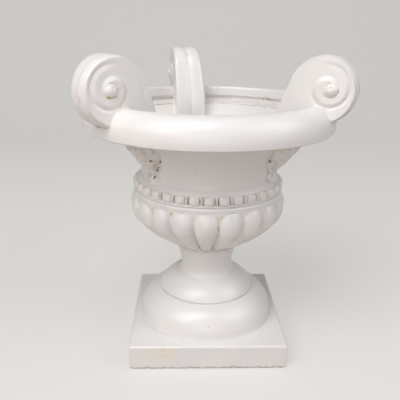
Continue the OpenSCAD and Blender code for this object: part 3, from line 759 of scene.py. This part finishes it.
def makeNeck():
    waist, curve, flare, wall = neck["waist"], neck["curve"], neck["flare"], neck["wall"]

    def face(inward, n=26):
        # the bell's curve, moved inwards
        out = []
        for i in range(n + 1):
            a = radians(180 - flare * i / n)
            out.append((waist[0] + curve + (curve + inward) * cos(a), waist[1] + (curve + inward) * sin(a)))
        return out

    top = float(neckRadius(neck["top"]))
    socket, low = neck["socket"], neck["foot"]
    outline = [(neck["cavity"], socket[1]), socket, (socket[0], low[1])] + cove(waist, low, 6)[::-1]
    outline += face(0)[1:] + [(top, neck["top"]), (top - wall / cos(radians(flare)), neck["top"])]
    outline += face(wall)[::-1]
    outline = softened(outline, 0.8)
    piece = throwOnWheel("neckBell", outline, 288)
    r, z, bearing = onWheel(piece)
    outer = r > neckRadius(np.clip(z, 253, 334)) - 3
    spot = near(np.hypot((bearing - 73) * 2.1 / 7, (z - 323) / 3), 1)
    # painted shade where the neck rises from the band and under the rim's overhang; darker inside just below
    # the rim's seat; the spot is old grime inside
    putStrongestLayer(piece, smoothStep(255.5, 253, z) * outer * 0.3, smoothStep(310, 330, z) * outer * 0.16,
             smoothStep(328, 333, z) * (~outer) * 0.25, spot * (~outer) * 0.5)
    handWorked(piece, 0.6, 42)
    finished(piece, "neck", bodyGlaze)
    return outline


neckOutline = makeNeck()


# rim: a heavy roll with an upright band and an undercut inside

rim = {"lip": 146, "crest": 360, "crestWide": 5.5, "outer": 172, "low": 322.5, "skirt": 9, "lipTall": 15,
       "undercut": 4.5, "floor": 338.5, "lowThick": 8, "mouth": 127.5, "seat": 334.52, "neckSide": 144.8}
# old grime inside: bearing, height, half width, half height, strength
rimGrime = [(49, 343.5, 17, 3.2, 0.95), (66, 342.5, 12, 2.4, 0.5), (127, 343, 14, 2.2, 0.5)]


def makeRim():
    lip, crest, low, outer = rim["lip"], rim["crest"], rim["low"], rim["outer"]
    out = lip + rim["crestWide"]
    base = low + rim["skirt"]
    outline = [(outer - rim["lowThick"], low + 0.6), (outer - rim["lowThick"] * 0.35, low),
               (outer - 0.9, low + 1.6)]
    for i in range(31):
        a = pi / 2 * i / 30
        outline.append((out + (outer - out) * cos(a), base + (crest - 0.5 - base) * sin(a)))
    under = lip + rim["undercut"]
    outline += [(lip + rim["crestWide"] / 2, crest), (lip + 0.8, crest - 0.9), (lip, crest - 3),
                (lip, crest - rim["lipTall"]), (under, crest - rim["lipTall"] + 1.2),
                (under, rim["floor"] + 1.5), (under - 2, rim["floor"]), (rim["mouth"], 336.4),
                (rim["mouth"], rim["seat"]), (rim["neckSide"], rim["seat"]), (rim["neckSide"], 331.5),
                (154.5, 330.5)]
    outline = softened(outline, 1.6)
    piece = throwOnWheel("rolledRim", outline, 320)
    r, z, bearing = onWheel(piece)
    inside = (r < lip + 6) & (z > 334)
    # painted shade in the undercut below the lip, on the roll's underside and along its lower edge; then the
    # listed old grime inside
    grimeAndShade = [inside * smoothStep(345.5, 342, z) * 0.3, (r < 166) * (z < 334) * 0.24,
             smoothStep(low + 1.6, low + 0.4, z) * 0.4]
    for at, high, halfWide, halfTall, strength in rimGrime:
        patch = np.hypot((bearing - at) * pi / 180 * lip / halfWide, (z - high) / halfTall)
        grimeAndShade.append(inside * strength * near(patch, 1))
    putStrongestLayer(piece, *grimeAndShade)
    handWorked(piece, 0.7, 55)
    finished(piece, "rim", bodyGlaze)
    return outline


rimOutline = makeRim()


# scrolled handles: a ball of clay pressed into a scroll with a leg, luted over the rim with slip

scroll = {"centre": (155.4, 379.4), "radius": 42.2, "thick": 36.4, "wedge": 5.5, "bevel": 4.8,
          "legAt": 97.0, "legLean": 20.7, "legBend": 105, "legEnd": 307,
          "spiral": (163.3, 382.1), "grooveStart": 31.2, "pitch": 12.6,
          "eye": (166.3, 382.0), "eyeRadius": 9.0, "eyeRise": 7.0, "fillet": 2.6, "broadFillet": 4.6,
          "stands": {"left": (220.6, 4.4, 1), "right": (333.2, -0.8, -1), "back": (103.6, 0, 1)},
          # ribs: depth of the strap's middle groove, drop of its edges, painted shade in the groove
          "ribs": {"left": (0.6, 1.5, 0), "right": (0.5, 2.2, 0), "back": (2.4, 0.4, 0.4)},
          "eyeMoved": {"left": (-1.9, 0.5), "right": (2.2, -0.8), "back": (0, 0)},
          "farSide": {"left": 1.6, "right": 0, "back": 0},
          "crevice": {"left": 1.0, "right": 0.45, "back": 0.3},
          "waveSize": {"left": 24, "right": 29, "back": 26},
          "columns": 384, "sideRows": 92, "strapRows": 24, "edgeRows": 14}
# depth of the groove and height of the coil inside it, by degrees wound inwards from the leg's side
grooveBed = ([62, 110, 200, 300, 360, 450, 540, 640, 720, 765],
             [0, -0.8, -1.3, -1.0, 0.0, 0.6, 1.0, 1.4, 2.2, 4.2])
coilCrown = ([62, 110, 200, 360, 450, 540, 640, 720], [0, 0.7, 1.2, 2.3, 3.3, 4.2, 4.8, 5.1])
# marks on the seen side: distance from the axis, height, reach along and across, lean, darkness, depth
darkMarks = {
    "left": [(120.9, 375.4, 15, 1.6, 78, 0.25, 0.9), (150, 352, 3, 1.4, 30, 0.3, 0),
             (165.4, 385.0, 3.0, 1.1, 62, 0.6, 1.8), (160.2, 378, 5.5, 0.8, 80, 0.3, 0),
             (165, 388.5, 3.0, 1.0, 20, 0.1, 0.7)],
    "right": [(163.5, 389.6, 1.2, 1.1, 0, 0.5, 0.5), (165.6, 385.0, 1.5, 1.2, 30, 0.6, 1.4),
              (184.3, 371.3, 2.4, 1.6, 60, 0.6, 0.3), (152.5, 371.5, 6.5, 0.8, 122, 0.5, 0.5),
              (150.4, 356.8, 3, 1.3, 20, 0.4, 0), (178, 362, 3, 1.2, 40, 0.25, 0)],
    "back": [(164.5, 384.5, 2.0, 1.2, 80, 0.3, 1.2)]}
# a curved mark round the eye: distance from it, half width, first and last angle, ochre stain, painted shade
arcMarks = {"left": (8.5, 1.5, -150, -52, 1.0, 0.0), "right": (8.6, 0.9, -112, 12, 0.0, 0.8), "back": None}


def halfThick(s):
    return scroll["thick"] / 2 + (scroll["centre"][0] - s) * tan(radians(scroll["wedge"]))


def scrollOutline():
    c, r, lean = scroll["centre"], scroll["radius"], radians(scroll["legLean"])
    leg, end, bend = scroll["legAt"], scroll["legEnd"], scroll["legBend"]
    touch = (c[0] - r * cos(lean), c[1] + r * sin(lean))
    straight = (touch[0] - leg - bend * (1 - cos(lean))) / sin(lean)
    bendEnd = (touch[0] - straight * sin(lean), touch[1] - straight * cos(lean))
    bendLow = bendEnd[1] - bend * sin(lean)
    route = [(leg, end), (leg, (end + bendLow) / 2)]
    for i in range(9):
        a = lean * i / 8
        route.append((leg + bend * (1 - cos(a)), bendLow + bend * sin(a)))
    turns = np.arange(pi - lean, radians(-102), -radians(4))
    route += [(c[0] + r * cos(a), c[1] + r * sin(a)) for a in turns]
    route += [(140, 336), (112, 309.5)]
    return np.array(route)


def spacedRound(route, count):
    closed = np.vstack([route, route[:1]])
    lengths = lengthAlong(closed)
    at = np.linspace(0, lengths[-1], count, endpoint=False)
    return np.stack([np.interp(at, lengths, closed[:, k]) for k in (0, 1)], 1)


def spiralRelief(s, z):
    # how far the pressed spiral stands out from the side's plane
    x, y = s - scroll["spiral"][0], z - scroll["spiral"][1]
    turn = (180 - degreesOf(x, y)) % 360
    wound = (scroll["grooveStart"] - np.hypot(x, y)) / scroll["pitch"] * 360
    share = ((wound - turn) % 360) / 360
    outer = wound - share * 360
    inner = outer + 360
    outerBed, innerBed = (np.interp(wind, *grooveBed, left=0) for wind in (outer, inner))
    crown = np.interp(outer, *coilCrown, left=0)
    # each coil swells just inside its groove, then slopes away to the next one
    up = smoothStep(-0.1, 0.42, share)
    down = np.clip((share - 0.4) / 0.6, 0, 1) ** 1.6
    last = smoothStep(715, 765, inner)
    nextBed = innerBed * (1 - last) + crown * last
    coil = np.where(share < 0.4, outerBed + (crown - outerBed) * up, crown + (nextBed - crown) * down)
    plain = innerBed * near((1 - share) * scroll["pitch"], 2.6)
    height = plain + (coil - plain) * smoothStep(50, 105, outer)
    # the ball in which the coil ends
    d = np.hypot(s - scroll["eye"][0], z - scroll["eye"][1])
    size = scroll["eyeRadius"]
    ball = np.where(d < size, scroll["eyeRise"] - size + np.sqrt(np.maximum(size ** 2 - d ** 2, 0)), -5)
    blend = smoothStep(-1.5, 1.5, ball - height)
    return height * (1 - blend) + ball * blend


def makeScroll():
    # a sphere's net of points: its rows run from the spiral to the strap's edge
    columns, sideRows, strapRows = scroll["columns"], scroll["sideRows"], scroll["strapRows"]
    rows = 2 * sideRows + strapRows
    nothingSelected()
    bpy.ops.mesh.primitive_uv_sphere_add(segments=columns, ring_count=rows, radius=1)
    ball = newPiece("scrollPattern")
    co = points(ball) * mm
    ring = np.rint(np.arccos(np.clip(co[:, 2], -1, 1)) / pi * rows).astype(int)
    column = np.rint(degreesOf(co[:, 0], co[:, 1]) / 360 * columns).astype(int) % columns
    edge = spacedRound(scrollOutline(), columns)
    way = np.roll(edge, -2, 0) - np.roll(edge, 2, 0)
    way /= radiusOf(way)[:, None]
    outward = np.stack([-way[:, 1], way[:, 0]], 1)
    rays = edge - np.array(scroll["spiral"])
    if (outward * rays).sum() < 0:
        outward = -outward
    bevel = scroll["bevel"]
    side = np.where(ring <= sideRows, 1, np.where(ring >= sideRows + strapRows, -1, 0))
    rowFromPole = np.where(side >= 0, ring, rows - ring)
    # rows crowd together towards the rounded edge
    t = np.clip(rowFromPole / sideRows, 0, 1)
    long = radiusOf(rays)[column]
    share = scroll["edgeRows"] / sideRows
    far = np.where(t > 1 - share, ((1 - t) / share) ** 1.5 * 7, 7 + (long - 7) * (1 - t / (1 - share)))
    place = edge[column] - rays[column] / long[:, None] * far[:, None]
    d = far * (outward * rays).sum(1)[column] / long
    top = halfThick(place[:, 0]) - bevel
    y = top + bevel * np.sqrt(np.clip(1 - (1 - np.clip(d / bevel, 0, 1)) ** 2, 0, 1))
    y += spiralRelief(place[:, 0], place[:, 1]) * smoothStep(2.0, 7, d)
    # the strap's face, still plain: each handle gets its ribs one by one
    w = (halfThick(edge[column][:, 0]) - bevel) * (1 - 2 * np.clip((ring - sideRows) / strapRows, 0, 1))
    onStrap = side == 0
    lowered = place - outward[column] * (0.3 * smoothStep(3, 0, d))[:, None]
    place = np.where(onStrap[:, None], edge[column], lowered)
    putPoints(ball, np.stack([place[:, 0], np.where(onStrap, w, side * y), place[:, 1]], 1))
    putValues(ball, "across", np.where(onStrap, np.abs(w) / (halfThick(edge[column][:, 0]) - bevel), 1))
    putValues(ball, "outS", outward[column][:, 0] * (d < 3))
    putValues(ball, "outZ", outward[column][:, 1] * (d < 3))
    faceOutwards(ball)
    return ball


def pressed(handle, name, seen):
    # ribs, marks, grime and painted shade as they are on this handle, in the pattern's own frame
    co = points(handle)
    s, y, z = co[:, 0].copy(), co[:, 1] * seen, co[:, 2].copy()
    across, outS, outZ = (valuesOf(handle, layer) for layer in ("across", "outS", "outZ"))
    groove, drop, held = scroll["ribs"][name]
    depth = groove * np.clip(1 - across / 0.52, 0, 1) ** 1.5 + drop * across ** 2 * smoothStep(-2, 8, y)
    co[:, 0] -= outS * depth
    co[:, 2] -= outZ * depth
    onFace = across < 0.999
    co[:, 1] -= seen * scroll["farSide"][name] * smoothStep(0, -9, y)
    # painted shade in the strap's middle groove
    grimeAndShade = smoothStep(0.14, 0.0, across) * held
    stain = np.zeros(len(co))
    onSide = (y > 0) & ~onFace
    for at, high, reach, wide, lean, strength, press in darkMarks[name]:
        u, v = leaned(s, z, at, high, -lean)
        spot = onSide * near(np.hypot(u / reach, v / wide), 1)
        grimeAndShade = np.maximum(grimeAndShade, strength * spot)
        co[:, 1] -= seen * press * spot
    eye = scroll["eye"]
    fromEye = np.hypot(s - eye[0], z - eye[1])
    if arcMarks[name]:
        radius, wide, start, end, ochre, paintedShade = arcMarks[name]
        a = degreesOf(s - eye[0], z - eye[1])
        arc = near(fromEye - radius, wide) * onSide
        arc *= smoothStep(start - 12, start + 14, a) * smoothStep(end + 12, end - 14, a)
        # the ochre arc is a stain; the dark arc is painted shade on the ball's lower side
        stain = np.maximum(stain, ochre * arc)
        grimeAndShade = np.maximum(grimeAndShade, paintedShade * arc)
    a = degreesOf(s - scroll["centre"][0], z - scroll["centre"][1])
    if name == "left":
        # one old chip on the strap
        chip = onFace * near(np.hypot((a + 10 - (y - 4) * 2.2) / 4.0, (y - 4 + (a + 10) * 0.12) / 1.3), 1)
        grimeAndShade = np.maximum(grimeAndShade, chip)
        stain = np.maximum(stain, 0.5 * chip)
        co[:, 0] -= 0.7 * chip
    if name == "right":
        # painted shade with grime on the strap's lower face, below the scroll
        under = onFace * near((a + 42) / 22, 1) * smoothStep(0.2, 0.9, across) * (y > 0)
        grimeAndShade = np.maximum(grimeAndShade, under * 0.55)
    # the thumb that pressed the eye moved it a little
    moved = near(fromEye, 21) * (across > 0.999)
    co[:, 0] += scroll["eyeMoved"][name][0] * moved
    co[:, 2] += scroll["eyeMoved"][name][1] * moved
    putPoints(handle, co)
    putStrongestLayer(handle, grimeAndShade)
    putStrongestLayer(handle, stain, name="stain")


def luted(handle, outlines, broad, held):
    # slip drawn up from the rim and the neck to the handle's sides, a little uneven
    co = points(handle)
    normals = np.empty(len(co) * 3)
    handle.data.vertices.foreach_get("normal", normals)
    normals = normals.reshape(-1, 3)
    r = radiusOf(co)
    d = np.minimum(*[outsideOf(outline, r, co[:, 2]) for outline in outlines])
    uneven = np.sin(r * 0.9 + co[:, 2] * 0.5) * np.sin(co[:, 2] * 0.61 + co[:, 0] * 0.23)
    onCrest = near(r - 156, 9) * smoothStep(146, 154, r)
    f = (scroll["fillet"] + (broad - scroll["fillet"]) * onCrest) * (1 + 0.16 * uneven)
    rest = np.clip(f - np.maximum(d, 0), 0, f)
    push = (f - np.sqrt(np.maximum(f ** 2 - rest ** 2, 0))) * smoothStep(-2.5, -0.5, d)
    putPoints(handle, co + normals * push[:, None])
    # painted shade with dust in the crevice between the strap and the roll
    crevice = near((d - 1.2) / 1.7, 1) * (0.75 + 0.25 * uneven)
    crevice *= (valuesOf(handle, "across") < 0.999) * (r > 158)
    putStrongestLayer(handle, valuesOf(handle, "grimeAndShade"), held * crevice)


def makeHandles():
    pattern = makeScroll()
    for name, (bearing, shift, seen) in scroll["stands"].items():
        handle = turnedCopy(pattern, 0)
        handle.name = handle.data.name = name + "Scroll"
        pressed(handle, name, seen)
        turn = radians(bearing)
        handle.rotation_euler = (0, 0, turn)
        handle.location = (shift * mm * cos(turn), shift * mm * sin(turn), 0)
        setDown(handle)
        broad = scroll["broadFillet"] if name != "back" else scroll["fillet"] + 1
        luted(handle, (rimOutline, neckOutline), broad, scroll["crevice"][name])
        handWorked(handle, 0.35, scroll["waveSize"][name], inward=True)
        finished(handle, "volute_" + name, handleGlaze, 60)
    bpy.data.objects.remove(pattern)


makeHandles()


# leaf sprigs: pierced foliage pressed on the neck under each handle

leaf = {"low": 254.0, "high": 319, "half": 34, "thick": 2.5, "moundHigh": 8.5,
        "bearings": {"left": 218.0, "right": 332.8, "back": 103.6},
        "bend": {"left": 0.6, "right": -0.8, "back": 0.3}}
# lobes on one side: across, up, lean, half length, half width, rise; the other side mirrors them
leafLobes = [(0, 3, 0, 11, 10, 5.6), (0, 25, 0, 18, 5.4, 4.2), (0, 46, 0, 19, 5.6, 4.4),
             (8.5, 18, 48, 14, 4.4, 3.6), (10, 33, 38, 15, 4.6, 4.0), (8.5, 49, 16, 16, 4.6, 4.2),
             (18, 27, 66, 8, 3.6, 3.0), (17.5, 46, 32, 15, 4.6, 3.6), (8, 6, 62, 9, 4.6, 3.6),
             (26, 45, 50, 9, 4.0, 3.0)]
# drilled eyelets on one side: across, up, half length, half width, lean
eyelets = [(17.2, 41, 1.8, 1.4, 30), (17.4, 28, 1.5, 1.3, 0), (13.4, 23, 3.0, 1.2, 38),
           (4.5, 11, 3.0, 1.1, 14), (7, 40, 1.7, 1.0, 20), (25, 36, 2.0, 1.1, 50)]


def leafHeight(x, z):
    # how far the leaf stands out from the neck, and the painted shade in its hollows, vein grooves and
    # eyelets
    height = np.full(x.shape, -3.0)
    shade = np.zeros(x.shape)
    # the leaves curl away from the neck over a mound of clay
    spread = np.clip(1 - (x / (8 + 22 * smoothStep(8, 46, z))) ** 2, 0, 1) ** 0.7
    mound = leaf["moundHigh"] * smoothStep(15, 36, z) * smoothStep(65, 57, z) * spread
    for cx, cz, lean, tall, wide, rise in leafLobes:
        for flip in (1, -1):
            u, v = leaned(x, z, cx * flip, cz, lean * flip)
            q = (u / wide) ** 2 + (v / tall) ** 2
            groove = (1 - np.cos(2 * pi * (np.abs(u) + 0.25 * v) / 2.9)) / 2 * (q > 0.02)
            veins = 0.6 * near(u, 0.7) + 1.25 * groove
            swell = rise * np.clip(1 - q, 0, 1) ** 0.8 - veins * (q < 0.9) - 3 * (q >= 1)
            shade = np.where(swell > height, groove * 0.34, shade)
            height = np.maximum(height, swell)
    # painted shade where the leaf sinks low towards the neck, and in its vein grooves
    paintedShade = np.maximum(smoothStep(0.8, 0.0, height) * 0.42, shade)
    height = np.where(mound > 1.2, np.maximum(height, -1.1) + mound, height)
    for cx, cz, tall, wide, lean in eyelets:
        for flip in (1, -1):
            u, v = leaned(x, z, cx * flip, cz, lean * flip)
            d = np.hypot(u / wide, v / tall)
            pit = near(d ** 2, 1)
            height = height - pit * np.clip(height - 0.5, 0, 4.5)
            # painted shade in each eyelet
            paintedShade = np.maximum(paintedShade, smoothStep(1.6, 0.9, d))
    return height, paintedShade


def makeSprig(name, bearing):
    nothingSelected()
    tall = leaf["high"] - leaf["low"]
    bpy.ops.mesh.primitive_grid_add(x_subdivisions=130, y_subdivisions=136, size=2)
    sprig = newPiece(name + "Sprig")
    co = points(sprig) * mm
    x = co[:, 0] * leaf["half"]
    z = (co[:, 1] + 1) / 2 * tall
    # each sprig was pressed by hand, so it is bent a little
    height, paintedShade = leafHeight(x + leaf["bend"][name] * np.sin(z * 0.09), z)
    up = leaf["low"] + z
    r = neckRadius(up)
    slope = neckRadius(up + 0.5) - neckRadius(up - 0.5)
    normalR = 1 / np.sqrt(1 + slope ** 2)
    out = r + height * normalR
    turn = radians(bearing) - x / r
    putPoints(sprig, np.stack([out * np.cos(turn), out * np.sin(turn), up - height * slope * normalR], 1))
    # the leaf's painted shade goes into the glaze's darkening layer
    putStrongestLayer(sprig, paintedShade)
    pickUp(sprig)
    openWith("VERT", sprig.data.vertices, height < -1.2)
    bpy.ops.mesh.select_less()
    bpy.ops.mesh.delete(type="VERT")
    faceOutwards(sprig)
    modified(sprig, "SOLIDIFY", thickness=leaf["thick"] * mm, offset=-1)
    finished(sprig, "acanthus_" + name, reliefGlaze, 70)


for name, bearing in leaf["bearings"].items():
    makeSprig(name, bearing)


# floor, lamps and world

stage = {"floor": (0.83, 0.82, 0.80), "bounce": (0.545, 0.49, 0.455), "glow": (0.80, 0.79, 0.775),
         "glowShare": 0.55, "world": 0.56, "worldTint": (0.95, 0.96, 1.0), "back": 2.6, "sweep": 1.2,
         "wide": 8, "wall": 4, "aim": (0, 0, 0.22),
         "lamps": [("windowLeft", (-1.35, -1.4, 1.65), 1.4, 24, (1.0, 0.985, 0.965)),
                   ("windowRight", (1.7, -0.7, 1.5), 1.4, 17, (0.96, 0.97, 1.0)),
                   ("ceilingLamp", (-0.45, -1.0, 2.1), 1.1, 19, (1.0, 0.99, 0.98)),
                   ("frontFill", (-0.35, -2.3, 0.5), 1.4, 11, (1.0, 0.975, 0.955))]}


def makeStage():
    # a floor that sweeps up into a backdrop
    nothingSelected()
    bpy.ops.mesh.primitive_plane_add(size=stage["wide"], location=(0, stage["back"] - stage["wide"] / 2, 0))
    floor = newPiece("paleFloor")
    setDown(floor)
    for e in floor.data.edges:
        e.select = all(floor.data.vertices[v].co.y > 0 for v in e.vertices)
    bpy.ops.object.mode_set(mode="EDIT")
    bpy.ops.mesh.select_mode(type="EDGE")
    extrude(0, 0, stage["wall"])
    closeMesh()
    for e in floor.data.edges:
        e.select = all(v.co.y > 0 and v.co.z < 0.01 for v in (floor.data.vertices[i] for i in e.vertices))
    bpy.ops.object.mode_set(mode="EDIT")
    bpy.ops.mesh.bevel(offset=stage["sweep"], segments=16, profile=0.5, affect="EDGES")
    closeMesh()
    smoothed(floor, 60)
    bench = NodeBench("paleFloor")
    path = bench.add("ShaderNodeLightPath")
    shown = bench.math("MAXIMUM", path.outputs["Is Camera Ray"], path.outputs["Is Glossy Ray"])
    shown = bench.math("MAXIMUM", shown, path.outputs["Is Transmission Ray"])
    tint = bench.mix(shown, stage["bounce"], stage["floor"])
    matt = bench.add("ShaderNodeBsdfDiffuse", {"Color": tint})
    glow = bench.add("ShaderNodeEmission", {"Color": (*stage["glow"], 1)})
    share = bench.times(shown, stage["glowShare"])
    both = bench.add("ShaderNodeMixShader", {0: share, 1: matt.outputs[0], 2: glow.outputs[0]})
    bench.add("ShaderNodeOutputMaterial", {0: both.outputs[0]})
    floor.data.materials.append(bench.material)
    for name, place, size, watts, tint in stage["lamps"]:
        lamp = bpy.data.lights.new(name, "AREA")
        lamp.shape = "SQUARE"
        lamp.size = size
        lamp.energy = watts
        lamp.color = tint
        lampObject = bpy.data.objects.new(name, lamp)
        lampObject.location = place
        way = Vector(stage["aim"]) - Vector(place)
        lampObject.rotation_euler = way.to_track_quat("-Z", "Y").to_euler()
        scene.collection.objects.link(lampObject)
    world = scene.world or bpy.data.worlds.new("room")
    scene.world = world
    world.use_nodes = True
    sky = world.node_tree.nodes["Background"]
    sky.inputs[0].default_value = (*stage["worldTint"], 1)
    sky.inputs[1].default_value = stage["world"]
    scene.view_settings.view_transform = "Standard"


makeStage()
print("stage set")
